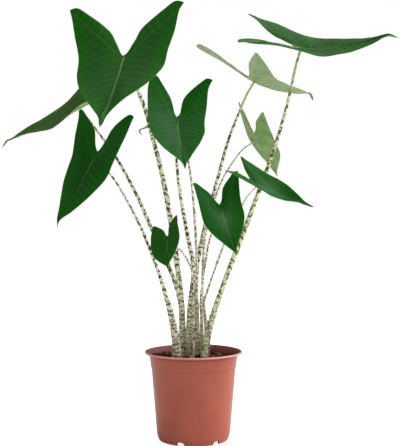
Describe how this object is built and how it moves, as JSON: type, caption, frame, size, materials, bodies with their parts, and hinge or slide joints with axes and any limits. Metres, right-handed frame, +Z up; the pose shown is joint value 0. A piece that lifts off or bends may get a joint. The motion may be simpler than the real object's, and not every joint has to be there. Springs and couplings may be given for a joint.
{
  "type": "potted zebrina alocasia",
  "caption": "Zebrina alocasia in a terracotta-coloured nursery pot: arrow-shaped dark green leaves on tall stalks banded in brown and cream.",
  "frame": {"origin": "on the pot's axis, on the surface that the pot stands on", "axes": "+Z up, +X to the right and +Y away from the viewer in the picture's view"},
  "size_m": [0.6996, 0.4203, 0.7551],
  "materials": {
    "pot": "moulded terracotta-coloured plastic, soft sheen",
    "soil": "damp crumbly potting soil, matt",
    "blade": "leathery dark green leaf with a waxy sheen",
    "petiole": "fleshy stalk, cream with irregular dark brown bands",
    "dry_sheath": "dry papery sheath, matt"
  },
  "bodies": {
    "root": {"pot": "pot", "soil": "soil", "blade_1": "blade", "petiole_1": "petiole", "blade_2": "blade", "petiole_2": "petiole", "blade_3": "blade", "petiole_3": "petiole", "blade_4": "blade", "petiole_4": "petiole", "blade_5": "blade", "petiole_5": "petiole", "blade_6": "blade", "petiole_6": "petiole", "blade_7": "blade", "petiole_7": "petiole", "blade_8": "blade", "petiole_8": "petiole", "blade_9": "blade", "petiole_9": "petiole", "blade_10": "blade", "petiole_10": "petiole", "blade_11": "blade", "petiole_11": "petiole", "sheath_left": "dry_sheath", "sheath_right": "dry_sheath"}
  },
  "joints": []
}
